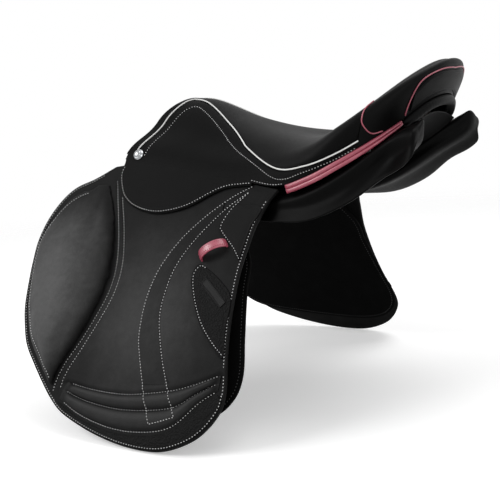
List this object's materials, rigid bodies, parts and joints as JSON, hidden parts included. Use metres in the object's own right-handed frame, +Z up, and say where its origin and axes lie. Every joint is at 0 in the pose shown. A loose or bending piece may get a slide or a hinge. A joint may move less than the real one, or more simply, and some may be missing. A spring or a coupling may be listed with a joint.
{
  "type": "jumping saddle",
  "caption": "Close-contact jumping saddle in dark leather with a deep seat, lifting flaps with knee pads, skirts, padded panels, girth straps and stirrup bars.",
  "frame": {"origin": "midway between the panels, level with their lowest line, under the middle of the seat", "axes": "+X back from pommel to cantle, +Y to the rider's right, +Z up"},
  "size_m": [0.574, 0.6068, 0.4492],
  "materials": {
    "seat_leather": "soft satin, fine grain",
    "side_leather": "smooth satin",
    "cantle_leather": "smooth satin",
    "panel_leather": "smooth soft sheen",
    "flap_leather": "smooth matt",
    "pad_leather": "padded, soft sheen",
    "grain_leather": "pebbled grain",
    "label_leather": "bare plate, matt",
    "pink_leather": "satin",
    "white_leather": "smooth",
    "sweat_leather": "matt, suede-like",
    "strap_leather": "oiled",
    "foam": "open-cell foam",
    "webbing": "woven",
    "tree_wood": "laminated, sealed",
    "plate_steel": "rolled",
    "bar_steel": "satin",
    "rivet_brass": "satin",
    "nail_chrome": "polished"
  },
  "bodies": {
    "saddle": {"seat_cover": "seat_leather", "seat_foam": "foam", "seat_webbing": "webbing", "tree_head": "tree_wood", "tree_rail_left": "tree_wood", "tree_rail_right": "tree_wood", "tree_cantle": "tree_wood", "tree_point_left": "tree_wood", "tree_point_right": "tree_wood", "head_plate": "plate_steel", "seat_side_left": "side_leather", "seat_side_right": "side_leather", "seat_piping": "white_leather", "cantle_facing": "cantle_leather", "cantle_plate": "cantle_leather", "cantle_piping": "pink_leather", "cantle_roll": "cantle_leather", "rear_welt_left": "pink_leather", "rear_welt_right": "pink_leather", "panel_left": "panel_leather", "panel_right": "panel_leather", "gullet_lining": "panel_leather", "pommel_facing": "side_leather", "sweat_flap_left": "sweat_leather", "sweat_flap_right": "sweat_leather", "stirrup_bar_left": "bar_steel", "stirrup_bar_right": "bar_steel", "bar_rivets": "bar_steel", "girth_web_left": "webbing", "girth_web_right": "webbing", "strap_rivets": "rivet_brass", "nails": "nail_chrome"},
    "flap_left": {"flap_left": "flap_leather", "knee_pad_left": "pad_leather", "rib_pad_left": "pad_leather", "hem_band_left": "grain_leather", "flap_band_left": "flap_leather", "upper_patch_left": "flap_leather", "lower_patch_left": "grain_leather", "label_plate_left": "label_leather", "keeper_left": "pink_leather"},
    "skirt_left": {"skirt_left": "side_leather"},
    "strap_front_left": {"strap_front_left": "strap_leather"},
    "strap_rear_left": {"strap_rear_left": "strap_leather"},
    "latch_left": {"bar_latch_left": "bar_steel"},
    "flap_right": {"flap_right": "flap_leather", "knee_pad_right": "pad_leather", "rib_pad_right": "pad_leather", "hem_band_right": "grain_leather", "flap_band_right": "flap_leather", "upper_patch_right": "flap_leather", "lower_patch_right": "grain_leather", "label_plate_right": "label_leather", "keeper_right": "pink_leather"},
    "skirt_right": {"skirt_right": "side_leather"},
    "strap_front_right": {"strap_front_right": "strap_leather"},
    "strap_rear_right": {"strap_rear_right": "strap_leather"},
    "latch_right": {"bar_latch_right": "bar_steel"}
  },
  "joints": [
    {"name": "flap_lift_left", "type": "hinge", "parent": "saddle", "child": "flap_left", "pos_m": [0, -0.12958, 0.05913], "axis": [-0.9865, 0.0818, 0.1418], "range_deg": [0, 45]},
    {"name": "skirt_lift_left", "type": "hinge", "parent": "flap_left", "child": "skirt_left", "pos_m": [0, -0.12958, 0.05913], "axis": [-0.9865, 0.0818, 0.1418], "range_deg": [0, 45]},
    {"name": "strap_front_swing_left", "type": "hinge", "parent": "saddle", "child": "strap_front_left", "pos_m": [-0.0988, -0.13122, 0.02889], "axis": [0, -0.866, 0.5], "range_deg": [-6, 1]},
    {"name": "strap_rear_swing_left", "type": "hinge", "parent": "saddle", "child": "strap_rear_left", "pos_m": [-0.0568, -0.13122, 0.02889], "axis": [0, -0.866, 0.5], "range_deg": [-1, 6]},
    {"name": "latch_lift_left", "type": "hinge", "parent": "saddle", "child": "latch_left", "pos_m": [-0.1003, -0.12329, 0.05763], "axis": [0, -0.866, 0.5], "range_deg": [0, 60]},
    {"name": "flap_lift_right", "type": "hinge", "parent": "saddle", "child": "flap_right", "pos_m": [0, 0.12958, 0.05913], "axis": [0.9865, 0.0818, -0.1418], "range_deg": [0, 45]},
    {"name": "skirt_lift_right", "type": "hinge", "parent": "flap_right", "child": "skirt_right", "pos_m": [0, 0.12958, 0.05913], "axis": [0.9865, 0.0818, -0.1418], "range_deg": [0, 45]},
    {"name": "strap_front_swing_right", "type": "hinge", "parent": "saddle", "child": "strap_front_right", "pos_m": [-0.0988, 0.13122, 0.02889], "axis": [0, -0.866, -0.5], "range_deg": [-6, 1]},
    {"name": "strap_rear_swing_right", "type": "hinge", "parent": "saddle", "child": "strap_rear_right", "pos_m": [-0.0568, 0.13122, 0.02889], "axis": [0, -0.866, -0.5], "range_deg": [-1, 6]},
    {"name": "latch_lift_right", "type": "hinge", "parent": "saddle", "child": "latch_right", "pos_m": [-0.1003, 0.12329, 0.05763], "axis": [0, -0.866, -0.5], "range_deg": [0, 60]}
  ]
}
